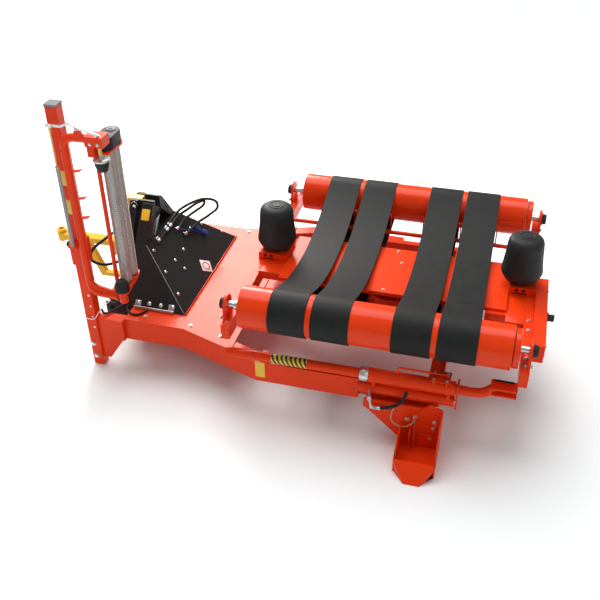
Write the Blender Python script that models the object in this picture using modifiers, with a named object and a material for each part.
"""Mounted turntable wrapper for round bales, with a film mast, a turntable with four belts and a
film cut-and-hold arm. Metres, +Z up, +X away from the tractor. The origin is on the ground, on the
machine's centre line, in the middle of its length. Run it with blender --background --python part.py.
"""

import math

import bmesh
import bpy
from mathutils import Matrix, Vector

SEAT = 0.0003  # gap left between faces that touch
RUN = 0.0005  # clearance between a shaft or slide and what guides it

# Main frame: two cranked side beams, cross tubes and a deck plate, all hung from DECK_TOP
DECK_TOP = 0.361
DECK_PLATE = 0.0075
BEAM_BOTTOM = 0.211
BEAM_WIDTH = 0.090
BEAM_TAIL_WIDTH = 0.051
CROSS_TUBE = 0.080
FRONT_X = -0.879
CRANK_X = (-0.488, 0.025)
BEAM_HALF = (0.6195, 0.794)  # outer face from the centre line, before and after the crank
BEAM_STEP_X = 0.639
REAR_X = 1.100
DECK_END_X = -0.140
CENTRE_BEAM_HALF = 0.110

# Turntable
TABLE_X = 0.693
ROLLER_HALF_SPACING = 0.712
ROLLER_Z = 0.677
ROLLER_R = 0.123
ROLLER_LENGTH = 1.500
ROLLER_SHAFT_R = 0.020
ARM_INNER = 0.801  # side arm's inner face from the table's centre
ARM_WIDTH = 0.050
ARM_HALF_LENGTH = 0.820
ARM_BOTTOM = 0.505
ARM_TOP = 0.600
BEARING_PLATE = 0.016
BEARING_R = 0.058
POST_R = 0.150
POST_TOP = 0.440
HUB_R = 0.100
TABLE_BEAM_HALF = 0.060
TABLE_BEAM_Z = (0.556, 0.6155)
COVER_PLATE = 0.004
COVER_Y = (-0.300, 0.200)

# Belts, four rubber loops that hang between the rollers
BELT_WIDTH = 0.212
BELT_THICK = 0.005
BELT_CENTRES = (-0.465, -0.222, 0.222, 0.465)
BELT_CLEARANCE = 0.0008
UPPER_SAG_SLOPE = 0.45
LOWER_SAG_SLOPE = 0.08

# Support cones at the two ends of the bale
CONE_OFFSET = 0.7545
CONE_Z = (0.660, 0.925)
CONE_R = (0.117, 0.095)
CONE_POST_R = 0.022
CONE_BRACKET_TOP = 0.650

# Film mast and dispenser
MAST_SIDE = 0.070
MAST_HEIGHT = 1.757
MAST_CAP = 0.012
MAST_X = -1.080
MAST_Y = -0.632
SLEEVE_Z = (0.760, 0.925)
SLEEVE_WALL = 0.008
SLEEVE_CLEARANCE = 0.0008
FRAME_TUBE_R = 0.019
FRAME_LEG_X = -1.020
TOP_ARM_Z = 1.600
LOW_ARM_Z = 0.602
BEND_R = 0.075
FILM_X = -0.803
FILM_Y = -0.707
CORE_R = 0.037
STRETCH_ROLLERS = ((-0.851, -0.557), (-0.852, -0.472))
STRETCH_ROLLER_R = 0.035
ROLLER_PLATE_Z = (0.607, 0.6190)  # lower plate that carries the stretch rollers
GEAR_PLATE_Z = (1.4765, 1.4885)
GEARBOX_TOP = 1.562
LEVER_Z = 1.668  # the spindle lever's free end and pivot
LUG_PROUD = 0.004

# Headstock
HEAD_X = (-1.020, -0.970)
HEAD_HALF = 0.450
RIDGE_Z = 0.668
RIDGE_HALF = 0.229
RIDGE_X = (-0.940, -0.862)
COVER_BASE_X = (-0.966, -0.524)
COVER_BASE_HALF = 0.492
TOP_PIN = (-0.990, 0.850)
PIN_R = 0.0125
LOW_PIN_Z = 0.290
LOW_PIN_Y = 0.410

# Drawbar
EYE_X = -1.608
EYE_R = 0.032
DRAWBAR_Z = (0.490, 0.530)
DRAWBAR_HALF = 0.035
UPRIGHT_X = -1.075

# Cut-and-hold arm
SLIDE_Y = -0.800
SLIDE_Z = 0.405
SLIDE_R = 0.028
SLEEVE_R = 0.042
SLEEVE_X = (0.700, 1.180)
SLIDE_START_X = -0.139
CYLINDER_Z = 0.315
CYLINDER_R = 0.033
CYLINDER_ROD_R = 0.012
CYLINDER_TAIL = 0.060  # how far the cylinder reaches past the sleeve's front end
RAM_DEPTH = 0.050  # from the sleeve's front end to the ram's inner end
NECK_R = 0.021
HEAD_PLATE_X = (1.360, 1.500)
HEAD_PLATE_Z = (0.432, 0.484)
HEAD_PLATE = 0.010

# Hydraulic hoses
HOSE_R = 0.008
HOSE_STEP = 0.040  # between points of a hose's path

# Feet
FOOT_X = (0.905, 1.135)
FOOT_BACK_Y = 0.866
FOOT_FRONT_Y = 1.100
FOOT_TIP_Y = 1.180
FOOT_PLATE = 0.008
GUSSET_Y = 0.850

parts = None
helpers = None
materials = {}


def clear_scene():
    for obj in list(bpy.data.objects):
        bpy.data.objects.remove(obj, do_unlink=True)


def collection(name):
    made = bpy.data.collections.new(name)
    bpy.context.scene.collection.children.link(made)
    return made


def material(name, colour, roughness, metallic=0.0):
    made = bpy.data.materials.new(name)
    made.use_nodes = True
    shader = made.node_tree.nodes["Principled BSDF"]
    shader.inputs["Base Color"].default_value = (*colour, 1.0)
    shader.inputs["Roughness"].default_value = roughness
    shader.inputs["Metallic"].default_value = metallic
    made.diffuse_color = (*colour, 1.0)
    materials[name] = made


def helper(mesh):
    """A solid to be fused or cut, kept out of the render."""
    obj = bpy.data.objects.new("shape", mesh)
    helpers.objects.link(obj)
    obj.hide_render = True
    obj.display_type = "WIRE"
    return obj


def mesh_of(shape):
    mesh = bpy.data.meshes.new("shape")
    bmesh.ops.recalc_face_normals(shape, faces=shape.faces)
    shape.to_mesh(mesh)
    shape.free()
    return mesh


def block(x, y, z):
    """A box between pairs of limits."""
    shape = bmesh.new()
    bmesh.ops.create_cube(shape, size=1.0)
    size = (x[1] - x[0], y[1] - y[0], z[1] - z[0])
    middle = ((x[0] + x[1]) / 2, (y[0] + y[1]) / 2, (z[0] + z[1]) / 2)
    bmesh.ops.scale(shape, vec=size, verts=shape.verts)
    bmesh.ops.translate(shape, vec=middle, verts=shape.verts)
    return helper(mesh_of(shape))


def rod(start, end, radius, sides=24):
    """A round bar between two points."""
    start, end = Vector(start), Vector(end)
    along = end - start
    shape = bmesh.new()
    bmesh.ops.create_cone(
        shape,
        cap_ends=True,
        segments=sides,
        radius1=radius,
        radius2=radius,
        depth=along.length,
    )
    turn = along.to_track_quat("Z", "Y").to_matrix().to_4x4()
    bmesh.ops.transform(
        shape, matrix=Matrix.Translation((start + end) / 2) @ turn, verts=shape.verts
    )
    return helper(mesh_of(shape))


def welded_mesh(obj):
    """The evaluated mesh of a curve object, its caps welded, in world space."""
    bpy.context.view_layer.update()
    graph = bpy.context.evaluated_depsgraph_get()
    mesh = bpy.data.meshes.new_from_object(obj.evaluated_get(graph))
    mesh.transform(obj.matrix_world)
    shape = bmesh.new()
    shape.from_mesh(mesh)
    bmesh.ops.remove_doubles(shape, verts=shape.verts, dist=0.00005)
    curve = obj.data
    bpy.data.objects.remove(obj, do_unlink=True)
    bpy.data.curves.remove(curve)
    bpy.data.meshes.remove(mesh)
    return mesh_of(shape)


PLANES = {
    "XY": Matrix.Identity(4),
    "XZ": Matrix(((1, 0, 0, 0), (0, 0, -1, 0), (0, 1, 0, 0), (0, 0, 0, 1))),
    "YZ": Matrix(((0, 0, 1, 0), (1, 0, 0, 0), (0, 1, 0, 0), (0, 0, 0, 1))),
}
NORMALS = {"XY": Vector((0, 0, 1)), "XZ": Vector((0, 1, 0)), "YZ": Vector((1, 0, 0))}


def plate(plane, outlines, low, high):
    """A flat outline in a plane, extruded between two limits along the plane's normal."""
    curve = bpy.data.curves.new("outline", "CURVE")
    curve.dimensions = "2D"
    curve.fill_mode = "BOTH"
    curve.extrude = (high - low) / 2
    for outline in outlines:
        spline = curve.splines.new("POLY")
        spline.points.add(len(outline) - 1)
        for point, (u, v) in zip(spline.points, outline):
            point.co = (u, v, 0.0, 1.0)
        spline.use_cyclic_u = True
    obj = bpy.data.objects.new("outline", curve)
    helpers.objects.link(obj)
    obj.matrix_world = (
        Matrix.Translation(NORMALS[plane] * (low + high) / 2) @ PLANES[plane]
    )
    return helper(welded_mesh(obj))


def tube(points, radius, resolution=3):
    """A round tube along a path of points."""
    curve = bpy.data.curves.new("path", "CURVE")
    curve.dimensions = "3D"
    curve.bevel_depth = radius
    curve.bevel_resolution = resolution
    curve.use_fill_caps = True
    spline = curve.splines.new("POLY")
    spline.points.add(len(points) - 1)
    for point, place in zip(spline.points, points):
        point.co = (*place, 1.0)
    obj = bpy.data.objects.new("path", curve)
    helpers.objects.link(obj)
    return helper(welded_mesh(obj))


def turned(profile, x, y, sides=32):
    """A body turned about an upright axis, from (radius, height) pairs listed top to bottom."""
    shape = bmesh.new()
    points = [shape.verts.new((radius, 0.0, height)) for radius, height in profile]
    for first, second in zip(points, points[1:]):
        shape.edges.new((first, second))
    mesh = bpy.data.meshes.new("profile")
    shape.to_mesh(mesh)
    shape.free()
    obj = bpy.data.objects.new("profile", mesh)
    helpers.objects.link(obj)
    screw = obj.modifiers.new("turn", "SCREW")
    screw.steps = sides
    screw.render_steps = sides
    screw.use_merge_vertices = True
    screw.merge_threshold = 0.00005
    obj.location = (x, y, 0.0)
    bpy.context.view_layer.update()
    graph = bpy.context.evaluated_depsgraph_get()
    made = bpy.data.meshes.new_from_object(obj.evaluated_get(graph))
    made.transform(obj.matrix_world)
    bpy.data.objects.remove(obj, do_unlink=True)
    shape = bmesh.new()
    shape.from_mesh(made)
    bmesh.ops.remove_doubles(shape, verts=shape.verts, dist=0.00005)
    return helper(mesh_of(shape))


def arc(centre, radius, start, end, steps):
    """Points on an arc, its angles in radians."""
    turns = [start + (end - start) * i / steps for i in range(steps + 1)]
    return [(centre[0] + radius * math.cos(a), centre[1] + radius * math.sin(a)) for a in turns]


def rounded(points, radius, steps=5):
    """A path with each inner corner replaced by a fillet of the radius."""
    points = [Vector(p) for p in points]
    path = [points[0]]
    for before, corner, after in zip(points, points[1:], points[2:]):
        back, ahead = (before - corner).normalized(), (after - corner).normalized()
        half = back.angle(ahead) / 2
        reach = radius / math.tan(half)
        middle = (back + ahead).normalized()
        centre = corner + middle * (radius / math.sin(half))
        first, last = corner + back * reach - centre, corner + ahead * reach - centre
        sweep = first.angle(last)
        for i in range(steps + 1):
            share = i / steps
            arm = first * math.sin((1 - share) * sweep) + last * math.sin(share * sweep)
            path.append(centre + arm / math.sin(sweep))
    path.append(points[-1])
    return path


def node(name, paint, shapes, cuts=(), joint=None, solver="EXACT"):
    """One sub-part: the first shape joined with the rest, less the cuts."""
    obj = shapes[0]
    obj.name = name
    obj.data.name = name
    helpers.objects.unlink(obj)
    parts.objects.link(obj)
    obj.hide_render = False
    obj.display_type = "TEXTURED"
    obj.data.materials.append(materials[paint])
    for kind, others in (("UNION", shapes[1:]), ("DIFFERENCE", cuts)):
        for other in others:
            change = obj.modifiers.new(kind.lower(), "BOOLEAN")
            change.operation = kind
            change.solver = solver
            change.object = other
            other.name = name + "_" + kind.lower()
    obj.data.shade_smooth()
    obj.data.set_sharp_from_angle(angle=math.radians(35))
    if joint:
        obj.parent = joint
        obj.matrix_parent_inverse = joint.matrix_world.inverted()
    return obj


def joint(name, place, parent=None):
    """An empty on a joint's axis, for the moving pieces to be parented to."""
    obj = bpy.data.objects.new(name, None)
    parts.objects.link(obj)
    obj.location = place
    bpy.context.view_layer.update()
    if parent:
        obj.parent = parent
        obj.matrix_parent_inverse = parent.matrix_world.inverted()
    bpy.context.view_layer.update()
    return obj


def mirrored(outline, side):
    """An outline in plan, drawn for the far side, turned to the side asked for."""
    return [(x, y * side) for x, y in outline]


def beam_outer(x):
    """How far a side beam's outer face lies from the centre line."""
    share = (x - CRANK_X[0]) / (CRANK_X[1] - CRANK_X[0])
    share = min(max(share, 0.0), 1.0)
    return BEAM_HALF[0] + share * (BEAM_HALF[1] - BEAM_HALF[0])


BEAM_TOP = DECK_TOP - DECK_PLATE - SEAT
BEAM_Z = (BEAM_BOTTOM, BEAM_TOP)
TAIL_OUTER = BEAM_HALF[1] - BEAM_WIDTH + BEAM_TAIL_WIDTH
TAIL_INNER = BEAM_HALF[1] - BEAM_WIDTH


def side_beam(name, side):
    width = BEAM_WIDTH
    outline = [
        (FRONT_X, BEAM_HALF[0]),
        (CRANK_X[0], BEAM_HALF[0]),
        (CRANK_X[1], BEAM_HALF[1]),
        (BEAM_STEP_X, BEAM_HALF[1]),
        (BEAM_STEP_X, TAIL_OUTER),
        (REAR_X, TAIL_OUTER),
        (REAR_X, TAIL_INNER),
        (CRANK_X[1], TAIL_INNER),
        (CRANK_X[0], BEAM_HALF[0] - width),
        (FRONT_X, BEAM_HALF[0] - width),
    ]
    shapes = [plate("XY", [mirrored(outline, side)], *BEAM_Z)]
    cuts = []
    if side < 0:
        shapes.append(cutter_rest())
        cuts.append(rod((0.0, SLIDE_Y, SLIDE_Z), (0.2, SLIDE_Y, SLIDE_Z), SLIDE_R + RUN, 32))
    node(name, "orange", shapes, cuts)


def deck():
    outline = [
        (FRONT_X, BEAM_HALF[0]),
        (CRANK_X[0], BEAM_HALF[0]),
        (DECK_END_X, beam_outer(DECK_END_X)),
    ]
    whole = outline + mirrored(outline[::-1], -1)
    node("deck_plate", "orange", [plate("XY", [whole], DECK_TOP - DECK_PLATE, DECK_TOP)])


def cross_tubes():
    front_inner = BEAM_HALF[0] - BEAM_WIDTH - SEAT
    front = (FRONT_X, FRONT_X + CROSS_TUBE)
    node("front_cross_tube", "orange", [block(front, (-front_inner, front_inner), BEAM_Z)])
    rear_inner = TAIL_INNER - SEAT
    rear = (REAR_X - CROSS_TUBE, REAR_X)
    node("rear_cross_tube", "orange", [block(rear, (-rear_inner, rear_inner), BEAM_Z)])
    middle = (front[1] + SEAT, rear[0] - SEAT)
    half = (-CENTRE_BEAM_HALF, CENTRE_BEAM_HALF)
    post = rod((TABLE_X, 0, BEAM_TOP - 0.040), (TABLE_X, 0, POST_TOP), POST_R, 32)
    node("centre_beam", "orange", [block(middle, half, BEAM_Z), post])


MAST_XS = (MAST_X - MAST_SIDE / 2, MAST_X + MAST_SIDE / 2)
MAST_YS = (MAST_Y - MAST_SIDE / 2, MAST_Y + MAST_SIDE / 2)


def mast():
    top = MAST_HEIGHT - MAST_CAP
    node("film_mast", "orange", [block(MAST_XS, MAST_YS, (0.0, top - SEAT))])
    lip = 0.002
    cap_x = (MAST_XS[0] - lip, MAST_XS[1] + lip)
    cap_y = (MAST_YS[0] - lip, MAST_YS[1] + lip)
    cap = block(cap_x, cap_y, (top, MAST_HEIGHT))
    node("mast_cap", "grey_plastic", [cap])


def mast_bracket_shapes(side):
    """The arm between a front corner post and the main frame, with its gusset below."""
    inner_x = (MAST_XS[1] + SEAT, FRONT_X - SEAT)
    outer, inner = 0.650, 0.575
    arm = block(inner_x, sorted((side * outer, side * inner)), (BEAM_BOTTOM, DECK_TOP))
    overlap = 0.010
    gusset = [
        (inner_x[0], 0.060),
        (inner_x[0] + 0.050, 0.060),
        (inner_x[1] - 0.020, BEAM_BOTTOM - 0.010),
        (inner_x[1] - 0.020, BEAM_BOTTOM + overlap),
        (inner_x[0], BEAM_BOTTOM + overlap),
    ]
    low, high = sorted((side * outer, side * (outer - 0.012)))
    return [arm, plate("XZ", [gusset], low, high)]


def front_supports():
    node("mast_bracket", "orange", mast_bracket_shapes(-1))
    far = (-MAST_YS[1], -MAST_YS[0])
    leg = block((MAST_XS[0], MAST_XS[1] + 0.010), far, (0.0, DECK_TOP + 0.004))
    node("front_far_leg", "orange", [leg, *mast_bracket_shapes(1)])


def headstock():
    """Black A-frame with the top-link clevis, and ears with the two lower-link pins welded in."""
    base_x = (HEAD_X[0], FRONT_X - SEAT)
    base = block(base_x, (-HEAD_HALF, HEAD_HALF), (BEAM_BOTTOM, DECK_TOP - RUN))
    shapes = [base]
    ear = 0.016
    ear_inner = 0.032
    crown = TOP_PIN[1] + 0.035
    for side in (-1, 1):
        leg = [
            (0.430 * side, DECK_TOP - 0.02),
            (0.350 * side, DECK_TOP - 0.02),
            (ear_inner * side, crown - 0.100),
            (ear_inner * side, crown),
            (0.060 * side, crown),
        ]
        shapes.append(plate("YZ", [leg], *HEAD_X))
        prop = [
            (RIDGE_HALF * side, RIDGE_Z + SEAT),
            ((RIDGE_HALF - 0.060) * side, RIDGE_Z + SEAT),
            (ear_inner * side, crown - 0.080),
            (ear_inner * side, crown - 0.010),
            (0.065 * side, crown - 0.010),
        ]
        shapes.append(plate("YZ", [prop], *RIDGE_X))
        cheek = sorted((ear_inner * side, (ear_inner + ear) * side))
        shapes.append(block((HEAD_X[0], RIDGE_X[1]), cheek, (crown - 0.075, crown)))
        for y in (LOW_PIN_Y - 0.030, LOW_PIN_Y + 0.018):
            limits = sorted((y * side, (y + 0.012) * side))
            shapes.append(block((HEAD_X[0] - 0.075, HEAD_X[0] + 0.010), limits, (0.245, 0.335)))
        x = HEAD_X[0] - 0.040
        pin_y = ((LOW_PIN_Y - 0.045) * side, (LOW_PIN_Y + 0.045) * side)
        shapes.append(rod((x, pin_y[0], LOW_PIN_Z), (x, pin_y[1], LOW_PIN_Z), PIN_R))
    cuts = [rod((TOP_PIN[0], -0.1, TOP_PIN[1]), (TOP_PIN[0], 0.1, TOP_PIN[1]), PIN_R + RUN)]
    node("headstock_frame", "black_paint", shapes, cuts, solver="MANIFOLD")


def top_link_pin():
    pin = rod((TOP_PIN[0], -0.080, TOP_PIN[1]), (TOP_PIN[0], 0.080, TOP_PIN[1]), PIN_R)
    node("top_link_pin", "zinc", [pin])


def headstock_cover():
    """Hip-shaped black cover over the valves, standing on the deck."""
    base_z = DECK_TOP + SEAT
    shape = bmesh.new()
    bmesh.ops.create_cube(shape, size=1.0)
    for point in shape.verts:
        xs, half = (RIDGE_X, RIDGE_HALF) if point.co.z > 0 else (COVER_BASE_X, COVER_BASE_HALF)
        x = xs[1] if point.co.x > 0 else xs[0]
        point.co = (x, math.copysign(half, point.co.y), RIDGE_Z if point.co.z > 0 else base_z)
    node("headstock_cover", "black_paint", [helper(mesh_of(shape))])


def drawbar():
    bar_y = (-DRAWBAR_HALF, DRAWBAR_HALF)
    bar = block((EYE_X, UPRIGHT_X - SEAT), bar_y, DRAWBAR_Z)
    root = block((-1.230, UPRIGHT_X - SEAT), (-0.045, 0.045), (0.430, 0.540))
    bush = rod((EYE_X, 0, DRAWBAR_Z[0] - 0.020), (EYE_X, 0, DRAWBAR_Z[1] + 0.025), EYE_R)
    bore = rod((EYE_X, 0, DRAWBAR_Z[0] - 0.050), (EYE_X, 0, DRAWBAR_Z[1] + 0.050), EYE_R / 2)
    post = block((UPRIGHT_X, HEAD_X[0] - SEAT), (-0.050, 0.050), (0.225, 0.800))
    tongue = block((UPRIGHT_X, TOP_PIN[0] + 0.030), (-0.0315, 0.0315), (0.790, 0.880))
    hole = rod((TOP_PIN[0], -0.1, TOP_PIN[1]), (TOP_PIN[0], 0.1, TOP_PIN[1]), PIN_R + RUN)
    node("drawbar_upright", "yellow", [post, tongue], [hole])
    brace = [
        (UPRIGHT_X - SEAT, 0.265),
        (-1.310, 0.255),
        (-1.410, DRAWBAR_Z[0] + 0.010),
        (-1.460, DRAWBAR_Z[0] + 0.010),
        (-1.345, 0.225),
        (UPRIGHT_X - SEAT, 0.235),
    ]
    node("drawbar", "yellow", [bar, root, bush, plate("XZ", [brace], -0.020, 0.020)], [bore])


def foot(side):
    """A pressed channel foot that opens outward, and the gusset that hangs it on the beam's tail."""
    top_left, top_right = 0.165, 0.275
    gusset_low, gusset_high = sorted((GUSSET_Y * side, (GUSSET_Y + 0.012) * side))
    gusset = [
        (BEAM_STEP_X + 0.045, 0.275),
        (FOOT_X[1] - 0.050, 0.275),
        (FOOT_X[1] - 0.050, 0.030),
        (FOOT_X[0] - 0.005, 0.030),
        (BEAM_STEP_X + 0.045, 0.230),
    ]
    shelf = block(
        (BEAM_STEP_X + 0.048, FOOT_X[1] - 0.053),
        sorted(((TAIL_OUTER + SEAT) * side, (GUSSET_Y + 0.006) * side)),
        (BEAM_BOTTOM, BEAM_BOTTOM + 0.010),
    )
    hanger = [plate("XZ", [gusset], gusset_low, gusset_high), shelf]
    back_y = sorted(((GUSSET_Y + 0.008) * side, (FOOT_BACK_Y + FOOT_PLATE) * side))
    inset = 0.002
    back = [
        (FOOT_X[0] + inset, inset),
        (FOOT_X[1] - inset, inset),
        (FOOT_X[1] - inset, top_right + 0.010),
        (FOOT_X[1] - 0.075, top_right + 0.040),
        (FOOT_X[0] + inset, top_left),
    ]
    shapes = [plate("XZ", [back], *back_y)]
    for x, top in ((FOOT_X[0], top_left), (FOOT_X[1] - FOOT_PLATE, top_right + 0.010)):
        flange = [
            (FOOT_BACK_Y * side, inset / 2),
            (FOOT_FRONT_Y * side, inset / 2),
            (FOOT_FRONT_Y * side, 0.085),
            ((FOOT_BACK_Y + 0.150) * side, top - inset),
            (FOOT_BACK_Y * side, top - inset),
        ]
        shapes.append(plate("YZ", [flange], x, x + FOOT_PLATE))
    sole_y = sorted(((FOOT_BACK_Y + inset) * side, (FOOT_FRONT_Y - inset) * side))
    shapes.append(block((FOOT_X[0] + inset, FOOT_X[1] - inset), sole_y, (0.0, FOOT_PLATE)))
    shapes.append(foot_toe(side))
    name = ("near" if side < 0 else "far") + "_foot"
    node(name, "orange", shapes + hanger, solver="MANIFOLD")


def foot_toe(side):
    """The sloping front plate, which narrows to the ground."""
    shape = bmesh.new()
    bmesh.ops.create_cube(shape, size=1.0)
    middle = (FOOT_X[0] + FOOT_X[1]) / 2
    for point in shape.verts:
        low, front = point.co.z < 0, point.co.y > 0
        half = 0.043 if low and front else (FOOT_X[1] - FOOT_X[0]) / 2 - 0.001
        y = FOOT_FRONT_Y - 0.010
        if front:
            y = FOOT_TIP_Y if low else FOOT_FRONT_Y + FOOT_PLATE
        point.co = (middle + math.copysign(half, point.co.x), y * side, 0.0005 if low else 0.087)
    return helper(mesh_of(shape))


def cutter_base():
    """The guide sleeve and the hydraulic cylinder under it, on lugs on the near beam's tail."""
    start, end = SLEEVE_X
    past = 0.1
    lug = 0.020
    sleeve = along_slide(start, end, SLIDE_Z, SLEEVE_R)
    lug_y = (SLIDE_Y - 0.025, -TAIL_OUTER - SEAT)
    lug_z = (CYLINDER_Z - lug, SLIDE_Z)
    lugs = [block((x, x + lug), lug_y, lug_z) for x in (start + lug, end - 0.045)]
    bore = along_slide(start - past, end + past, SLIDE_Z, SLIDE_R + RUN)
    barrel_bore = along_slide(start - past, end + past, CYLINDER_Z, CYLINDER_R + SEAT)
    node("cutter_sleeve", "orange", [sleeve, *lugs, cutter_guard()], [bore, barrel_bore])
    barrel = along_slide(start - CYLINDER_TAIL, end, CYLINDER_Z, CYLINDER_R)
    rod_bore = along_slide(start + RAM_DEPTH - 0.010, end + past, CYLINDER_Z, CYLINDER_ROD_R + RUN)
    node("cutter_cylinder", "orange", [barrel], [rod_bore])


def along_slide(start, end, z, radius):
    """A round bar in the cutter's line, between two places along the machine."""
    return rod((start, SLIDE_Y, z), (end, SLIDE_Y, z), radius, 32)


def cutter_guard():
    """A bent wire over the sleeve."""
    radius = 0.006
    foot_z = SLIDE_Z + SLEEVE_R - 0.004
    high = 0.488
    xs = (0.860, 1.140)
    corners = ((xs[0], foot_z), (xs[0], high), (xs[1], high), (xs[1], foot_z))
    path = [(x, SLIDE_Y, z) for x, z in corners]
    return tube(rounded(path, 0.014, 4), radius)


def cutter_rest():
    """The saddle on the near beam that the slide tube's tail lies on."""
    y = (SLIDE_Y + 0.008, SLIDE_Y + 0.070)
    return block((0.060, 0.100), y, (BEAM_TOP - 0.010, SLIDE_Z - 0.010))


def cutter_arm():
    pivot = joint("cutter_arm_joint", (SLIDE_START_X, SLIDE_Y, SLIDE_Z))
    end = SLEEVE_X[1] + 0.018
    slide = along_slide(SLIDE_START_X, end, SLIDE_Z, SLIDE_R)
    yoke_half = 0.035
    yoke_y = (SLIDE_Y - yoke_half, SLIDE_Y + yoke_half)
    yoke = block((SLEEVE_X[1] + 0.006, end), yoke_y, (CYLINDER_Z - 0.030, SLIDE_Z + 0.045))
    neck = [
        (end - 0.005, SLIDE_Y, SLIDE_Z),
        (end + 0.120, SLIDE_Y, SLIDE_Z - 0.010),
        (HEAD_PLATE_X[0] + 0.020, SLIDE_Y, 0.456),
    ]
    bend = rounded(neck, 0.060, 5)
    shapes = [yoke, slide, tube(bend, NECK_R)]
    hole = along_slide(end - 0.1, end + 0.1, CYLINDER_Z, CYLINDER_ROD_R + SEAT)
    node("cutter_arm", "orange", shapes, [hole], pivot)
    ram = along_slide(SLEEVE_X[0] + RAM_DEPTH, end, CYLINDER_Z, CYLINDER_ROD_R)
    node("cutter_ram", "chrome", [ram], joint=pivot)
    half = 0.040
    y = (SLIDE_Y - half, SLIDE_Y + half)
    low, high = HEAD_PLATE_Z
    web = (HEAD_PLATE_X[0], HEAD_PLATE_X[0] + HEAD_PLATE)
    jaws = [
        block(HEAD_PLATE_X, y, (low, low + HEAD_PLATE)),
        block(HEAD_PLATE_X, y, (high - HEAD_PLATE, high)),
        block(web, y, (low, high)),
    ]
    cut = tube(bend, NECK_R + SEAT)
    node("cutter_head", "orange", jaws, [cut], pivot)


def dispenser():
    slide = joint("dispenser_joint", (MAST_X, MAST_Y, SLEEVE_Z[0]))
    hole = MAST_SIDE / 2 + SLEEVE_CLEARANCE
    outer = hole + SLEEVE_WALL
    ring = block((MAST_X - outer, MAST_X + outer), (MAST_Y - outer, MAST_Y + outer), SLEEVE_Z)
    bore_z = (SLEEVE_Z[0] - 0.1, SLEEVE_Z[1] + 0.1)
    bore = block((MAST_X - hole, MAST_X + hole), (MAST_Y - hole, MAST_Y + hole), bore_z)
    front = MAST_Y - outer
    leg_y = front - SEAT - FRAME_TUBE_R
    spring = (MAST_X + 0.012, leg_y - 0.015)
    shelf_top = SLEEVE_Z[1]
    shelf_x = (spring[0] - 0.030, spring[0] + 0.025)
    shelf_y = (spring[1] - 0.020, front + 0.004)
    shelf = block(shelf_x, shelf_y, (shelf_top - 0.014, shelf_top))
    clear = rod((FRAME_LEG_X, leg_y, 0.5), (FRAME_LEG_X, leg_y, 1.2), FRAME_TUBE_R + SEAT)
    node("dispenser_sleeve", "orange", [ring, shelf], [bore, clear], slide)
    dispenser_frame(slide, leg_y)
    film_head(slide, leg_y)
    lever_and_spring(slide, leg_y, spring, shelf_top)
    film_cones(slide)
    stretch_rollers(slide)


def dispenser_frame(slide, leg_y):
    """Round C-shaped tube with the lower film boss and the plate under the stretch rollers."""
    path = [
        (FILM_X - 0.075, leg_y, TOP_ARM_Z),
        (FRAME_LEG_X, leg_y, TOP_ARM_Z),
        (FRAME_LEG_X, leg_y, LOW_ARM_Z + 0.040),
        (FILM_X, leg_y, LOW_ARM_Z),
    ]
    frame = tube(rounded(path, BEND_R, 6), FRAME_TUBE_R)
    boss = rod((FILM_X, FILM_Y, LOW_ARM_Z - 0.030), (FILM_X, FILM_Y, 0.6395), 0.026)
    first, second = STRETCH_ROLLERS
    deck_outline = [
        (FILM_X - 0.095, leg_y),
        (FILM_X + 0.020, leg_y),
        (second[0] + 0.045, second[1] - 0.010),
        (second[0] + 0.030, second[1] + 0.040),
        (second[0] - 0.040, second[1] + 0.040),
    ]
    deck_plate = plate("XY", [deck_outline], *ROLLER_PLATE_Z)
    lug_x = FILM_X - 0.112
    lug_outline = [
        (lug_x - 0.030, TOP_ARM_Z),
        (lug_x + 0.030, TOP_ARM_Z),
        (lug_x + 0.012, LEVER_Z),
        (lug_x - 0.012, LEVER_Z),
    ]
    lug = plate("XZ", [lug_outline], leg_y - FRAME_TUBE_R - LUG_PROUD, leg_y - 0.006)
    node("dispenser_frame", "orange", [frame, boss, deck_plate, lug], joint=slide)


def film_head(slide, leg_y):
    """Housing of the upper film spindle, with the plate that hangs the gears and the rollers."""
    socket = (FILM_X - 0.075 + SEAT, FILM_X + 0.030)
    housing = block(socket, (leg_y - 0.032, leg_y + 0.050), (TOP_ARM_Z - 0.033, TOP_ARM_Z + 0.025))
    wall = block((FILM_X - 0.103, FILM_X - 0.060), (leg_y + 0.030, -0.600), (GEAR_PLATE_Z[0], TOP_ARM_Z))
    first, second = STRETCH_ROLLERS
    outline = [
        (FILM_X - 0.103, -0.640),
        (FILM_X - 0.010, -0.620),
        (second[0] + 0.058, second[1]),
        (second[0] + 0.040, second[1] + 0.052),
        (second[0] - 0.045, second[1] + 0.052),
    ]
    gear_plate = plate("XY", [outline], *GEAR_PLATE_Z)
    angle = math.atan2(second[1] - first[1], second[0] - first[0])
    radius = 0.050
    quarter = math.pi / 2
    oval = arc(second, radius, angle - quarter, angle + quarter, 10)
    oval += arc(first, radius, angle + quarter, angle + 3 * quarter, 10)
    case = plate("XY", [oval], GEAR_PLATE_Z[1] + SEAT, GEARBOX_TOP)
    node("film_gearbox", "black_plastic", [case], [wall_clearance()], slide)
    guard_xy = (FILM_X - 0.081, -0.615)
    guard = rod((*guard_xy, ROLLER_PLATE_Z[1] + SEAT), (*guard_xy, GEAR_PLATE_Z[0] + 0.006), 0.008, 16)
    node("film_head", "orange", [housing, wall, gear_plate, guard], joint=slide)


def wall_clearance():
    """What is taken from the gear case where the head's wall stands beside it."""
    x = (FILM_X - 0.2, FILM_X - 0.060 + SEAT)
    return block(x, (-0.8, -0.600 + SEAT), (GEAR_PLATE_Z[0], TOP_ARM_Z))


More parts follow.
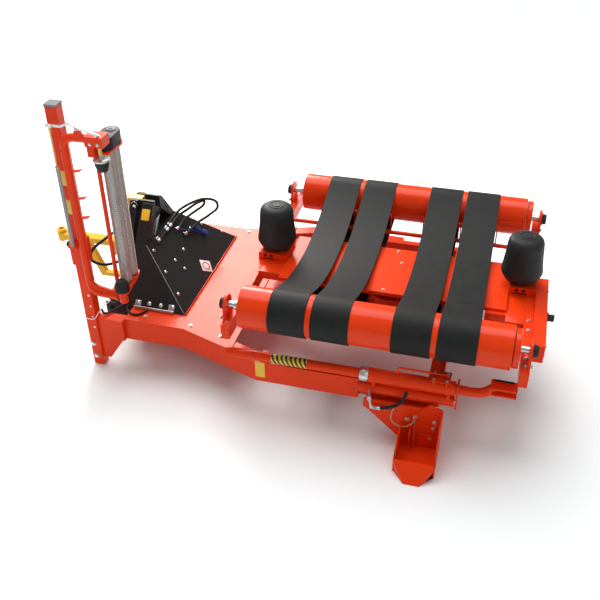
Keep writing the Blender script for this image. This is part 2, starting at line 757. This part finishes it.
def lever_and_spring(slide, leg_y, spring, shelf_top):
    """The cranked lever that lifts the upper spindle, and the gas spring at its free end."""
    high = leg_y - FRAME_TUBE_R - LUG_PROUD - SEAT
    low = high - 0.008
    thick = 0.014
    line = [
        (-1.085, LEVER_Z),
        (-1.000, LEVER_Z),
        (-0.957, LEVER_Z + 0.022),
        (-0.915, LEVER_Z),
        (FILM_X + 0.010, LEVER_Z - 0.028),
    ]
    outline = [(x, z + thick / 2) for x, z in line] + [(x, z - thick / 2) for x, z in line[::-1]]
    node("spindle_lever", "zinc", [plate("XZ", [outline], low, high)], joint=slide)
    middle = (low + high) / 2
    rod_top = LEVER_Z - thick / 2 - SEAT
    rod_part = rod((spring[0], middle, 1.40), (spring[0], middle, rod_top), 0.005, 16)
    body = rod((spring[0], middle, shelf_top + SEAT), (spring[0], middle, 1.430), 0.011, 20)
    node("gas_spring", "zinc", [body, rod_part], joint=slide)


def film_cones(slide):
    upper = joint("upper_film_cone_joint", (FILM_X, FILM_Y, 1.5), slide)
    top = TOP_ARM_Z - 0.033 - RUN
    cone = [(0, top), (0.010, top), (0.010, 1.502), (0.046, 1.500), (0.046, 1.4885)]
    cone += [(CORE_R, 1.4885), (CORE_R, 1.465), (CORE_R - 0.012, 1.428), (0, 1.428)]
    node("upper_film_cone", "black_plastic", [turned(cone, FILM_X, FILM_Y)], joint=upper)
    lower = joint("lower_film_cone_joint", (FILM_X, FILM_Y, 0.64), slide)
    cone = [(0, 0.722), (0.024, 0.722), (CORE_R, 0.695), (CORE_R, 0.652), (0.020, 0.640)]
    cone.append((0, 0.640))
    node("lower_film_cone", "black_plastic", [turned(cone, FILM_X, FILM_Y)], joint=lower)


def stretch_rollers(slide):
    for number, (x, y) in enumerate(STRETCH_ROLLERS, 1):
        pivot = joint("stretch_roller_%d_joint" % number, (x, y, ROLLER_PLATE_Z[1]), slide)
        low, high = ROLLER_PLATE_Z[1] + RUN, GEAR_PLATE_Z[0] - RUN
        neck = 0.006
        profile = [
            (0, high),
            (0.012, high),
            (0.012, high - neck),
            (STRETCH_ROLLER_R, high - neck),
            (STRETCH_ROLLER_R, low + neck),
            (0.012, low + neck),
            (0.012, low),
            (0, low),
        ]
        node("stretch_roller_%d" % number, "aluminium", [turned(profile, x, y)], joint=pivot)


def side_arm(name, side, table):
    """A turntable side arm with a bearing plate at each end, its shaft holes running clear."""
    inner = TABLE_X + side * ARM_INNER
    outer = inner + side * ARM_WIDTH
    arm_y = (-ARM_HALF_LENGTH, ARM_HALF_LENGTH)
    shapes = [block(sorted((inner, outer)), arm_y, (ARM_BOTTOM, ARM_TOP))]
    cuts = []
    plate_x = sorted((outer, outer - side * BEARING_PLATE))
    for y in (-ROLLER_HALF_SPACING, ROLLER_HALF_SPACING):
        cheek = arc((y, ROLLER_Z), BEARING_R, 0.0, math.pi, 12)
        flare = BEARING_R + 0.015
        cheek += [(y - flare, ARM_TOP - 0.020), (y + flare, ARM_TOP - 0.020)]
        shapes.append(plate("YZ", [cheek], *plate_x))
        hole_end = outer + side * BEARING_PLATE
        cuts.append(rod((inner, y, ROLLER_Z), (hole_end, y, ROLLER_Z), ROLLER_SHAFT_R + RUN))
    node(name, "orange", shapes, cuts, table)


def table_frame(table):
    inner = ARM_INNER - SEAT
    beam_x = (TABLE_X - inner, TABLE_X + inner)
    half = (-TABLE_BEAM_HALF, TABLE_BEAM_HALF)
    node("table_beam", "orange", [block(beam_x, half, TABLE_BEAM_Z)], joint=table)
    low = POST_TOP + RUN
    hub_top = TABLE_BEAM_Z[0] - SEAT
    flange_top = low + 0.016
    hub = [(0, hub_top), (HUB_R, hub_top), (HUB_R, flange_top), (POST_R, flange_top)]
    hub += [(POST_R, low), (0, low)]
    node("turntable_hub", "orange", [turned(hub, TABLE_X, 0)], joint=table)
    cover_z = TABLE_BEAM_Z[1] + SEAT
    cover_x = (cone_bracket_x(-1)[1] + SEAT, cone_bracket_x(1)[0] - SEAT)
    sheet = block(cover_x, COVER_Y, (cover_z, cover_z + COVER_PLATE))
    lips = []
    for y in COVER_Y:
        inward = math.copysign(COVER_PLATE, -y)
        lips.append(block(cover_x, sorted((y, y + inward)), (cover_z - 0.020, cover_z + COVER_PLATE)))
    node("table_cover", "orange", [sheet, *lips], joint=table, solver="MANIFOLD")


def cone_bracket_x(side):
    """Limits of the box that carries a support cone; the left one reaches further in."""
    outer = TABLE_X + side * (ARM_INNER + ARM_WIDTH)
    reach = 0.188 if side < 0 else 0.155
    return sorted((outer, outer - side * reach))


def cone_brackets(table):
    for name, side in (("left_cone_bracket", -1), ("right_cone_bracket", 1)):
        box = block(cone_bracket_x(side), (-0.100, 0.100), (ARM_TOP + SEAT, CONE_BRACKET_TOP))
        clear_half = TABLE_BEAM_HALF + SEAT
        clear_x = (TABLE_X - ARM_INNER, TABLE_X + ARM_INNER)
        clear = block(clear_x, (-clear_half, clear_half), (ARM_BOTTOM, TABLE_BEAM_Z[1] + SEAT))
        node(name, "orange", [box], [clear], table)


def support_cones(table):
    for name, side in (("left_support_cone", -1), ("right_support_cone", 1)):
        x = TABLE_X + side * CONE_OFFSET
        pivot = joint(name + "_joint", (x, 0, CONE_Z[0]), table)
        low, high = CONE_Z
        wide, narrow = CONE_R
        profile = [
            (0, high),
            (narrow - 0.040, high),
            (narrow - 0.034, high - 0.012),
            (narrow - 0.014, high - 0.018),
            (narrow, high - 0.034),
            (wide, low + 0.030),
            (wide - 0.012, low),
            (CONE_POST_R, low),
            (CONE_POST_R, CONE_BRACKET_TOP + RUN),
            (0, CONE_BRACKET_TOP + RUN),
        ]
        node(name, "black_plastic", [turned(profile, x, 0)], joint=pivot)


def rollers(table):
    half = ROLLER_LENGTH / 2
    reach = ARM_INNER + ARM_WIDTH + 0.015
    for name, y in (("near_roller", -ROLLER_HALF_SPACING), ("far_roller", ROLLER_HALF_SPACING)):
        pivot = joint(name + "_joint", (TABLE_X, y, ROLLER_Z), table)
        drum = rod((TABLE_X - half, y, ROLLER_Z), (TABLE_X + half, y, ROLLER_Z), ROLLER_R, 48)
        shaft = rod((TABLE_X - reach, y, ROLLER_Z), (TABLE_X + reach, y, ROLLER_Z), ROLLER_SHAFT_R)
        node(name, "orange", [drum, shaft], joint=pivot)


def belt_run(radius, offset):
    """A belt's closed outline seen along the rollers, offset outward from its inner face."""
    ring = radius + offset
    lift, drop = math.atan(UPPER_SAG_SLOPE), math.atan(LOWER_SAG_SLOPE)
    steps = 20
    right = (ROLLER_HALF_SPACING, ROLLER_Z)
    wrap = arc(right, ring, -math.pi / 2 + drop, math.pi / 2 + lift, steps)
    runs = 12
    first, last = wrap[-1], wrap[0]
    upper = []
    for i in range(1, runs):
        y = first[0] * (1 - 2 * i / runs)
        upper.append((y, first[1] - UPPER_SAG_SLOPE * (first[0] ** 2 - y**2) / (2 * first[0])))
    lower = []
    for i in range(1, runs):
        y = -last[0] * (1 - 2 * i / runs)
        lower.append((y, last[1] - LOWER_SAG_SLOPE * (last[0] ** 2 - y**2) / (2 * last[0])))
    left = [(-y, z) for y, z in wrap[::-1]]
    return wrap + upper + left + lower


def belts(table):
    radius = ROLLER_R + BELT_CLEARANCE
    outlines = [belt_run(radius, BELT_THICK), belt_run(radius, 0.0)]
    for number, centre in enumerate(BELT_CENTRES, 1):
        x = TABLE_X + centre
        loop = plate("YZ", outlines, x - BELT_WIDTH / 2, x + BELT_WIDTH / 2)
        node("belt_%d" % number, "rubber", [loop], joint=table)


def belt_guide(table):
    y, z = 0.460, 0.582
    inner = ARM_INNER - SEAT
    bar = rod((TABLE_X - inner, y, z), (TABLE_X + inner, y, z), 0.014, 16)
    node("belt_guide_bar", "orange", [bar], joint=table)


def drive(table):
    outer = TABLE_X + ARM_INNER + ARM_WIDTH
    case_x = (outer + SEAT, outer + 0.072)
    case = block(case_x, (-0.600, 0.080), (0.512, 0.625))
    node("chain_case", "orange", [case], joint=table)
    motor = rod((case_x[1] + SEAT, -0.240, 0.568), (case_x[1] + 0.045, -0.240, 0.568), 0.038)
    node("roller_motor", "black_plastic", [motor], joint=table)


def hose(name, route):
    """A rubber hose on a smooth curve through its route's points."""
    spots = [Vector(p) for p in route]
    spots = [2 * spots[0] - spots[1], *spots, 2 * spots[-1] - spots[-2]]
    path = []
    for before, start, end, after in zip(spots, spots[1:], spots[2:], spots[3:]):
        steps = max(2, round((end - start).length / HOSE_STEP))
        for i in range(steps):
            t = i / steps
            lead, trail = (end - before) / 2, (after - start) / 2
            blend = (2 * t**3 - 3 * t**2 + 1) * start + (3 * t**2 - 2 * t**3) * end
            path.append(blend + (t**3 - 2 * t**2 + t) * lead + (t**3 - t**2) * trail)
    path.append(spots[-2])
    node(name, "rubber", [tube(path, HOSE_R, 2)])


def on_cover(x, y, lift=0.0):
    """Where a hose's centre runs when it lies on the cover's rear slope, or is lifted off it."""
    slope = (RIDGE_Z - DECK_TOP) / (COVER_BASE_X[1] - RIDGE_X[1])
    rest = (HOSE_R + SEAT) * math.hypot(1.0, slope) + lift
    return (x, y, RIDGE_Z + SEAT - (x - RIDGE_X[1]) * slope + rest)


def hoses():
    """Two supply hoses that loop back to the cover, and one on the headstock's near leg."""
    first = [on_cover(-0.845, -0.140), on_cover(-0.845, 0.040, 0.003), (-0.832, 0.180, 0.674)]
    first += [(-0.800, 0.270, 0.690), (-0.720, 0.380, 0.698), (-0.650, 0.450, 0.660)]
    first += [(-0.632, 0.440, 0.610), (-0.665, 0.350, 0.595), (-0.705, 0.240, 0.590)]
    first += [on_cover(-0.743, 0.140, 0.005), on_cover(-0.755, 0.100)]
    hose("supply_hose_1", first)
    second = [on_cover(-0.832, -0.140), on_cover(-0.832, 0.040, 0.002), (-0.817, 0.180, 0.658)]
    second += [(-0.788, 0.270, 0.664), (-0.745, 0.360, 0.676), (-0.715, 0.415, 0.668)]
    second += [(-0.722, 0.400, 0.637), (-0.760, 0.300, 0.628), (-0.785, 0.200, 0.623)]
    second += [on_cover(-0.794, 0.120, 0.004), on_cover(-0.800, 0.080)]
    hose("supply_hose_2", second)
    face = HEAD_X[0] - SEAT - HOSE_R
    hitch = [(face, -0.120, 0.740), (face - 0.006, -0.220, 0.765), (-1.060, -0.360, 0.770)]
    hitch += [(-1.115, -0.450, 0.730), (-1.125, -0.465, 0.660), (-1.080, -0.400, 0.595)]
    hitch += [(face - 0.010, -0.310, 0.566), (face - 0.002, -0.270, 0.561), (face, -0.240, 0.560)]
    hose("hitch_hose", hitch)


def build():
    material("orange", (0.80, 0.075, 0.012), 0.35)
    material("black_paint", (0.025, 0.025, 0.028), 0.45)
    material("black_plastic", (0.018, 0.018, 0.020), 0.45)
    material("grey_plastic", (0.22, 0.23, 0.24), 0.5)
    material("rubber", (0.020, 0.020, 0.022), 0.75)
    material("yellow", (0.78, 0.48, 0.02), 0.4)
    material("zinc", (0.62, 0.63, 0.62), 0.35, 1.0)
    material("chrome", (0.75, 0.75, 0.76), 0.12, 1.0)
    material("aluminium", (0.70, 0.71, 0.71), 0.4, 1.0)
    side_beam("near_beam", -1)
    side_beam("far_beam", 1)
    deck()
    cross_tubes()
    mast()
    front_supports()
    headstock()
    top_link_pin()
    headstock_cover()
    drawbar()
    foot(-1)
    foot(1)
    cutter_base()
    cutter_arm()
    hoses()
    dispenser()
    table = joint("turntable_joint", (TABLE_X, 0, POST_TOP))
    side_arm("left_table_arm", -1, table)
    side_arm("right_table_arm", 1, table)
    table_frame(table)
    cone_brackets(table)
    support_cones(table)
    rollers(table)
    belts(table)
    belt_guide(table)
    drive(table)


clear_scene()
parts = collection("bale_wrapper")
helpers = collection("cutters")
helpers.hide_render = True
build()
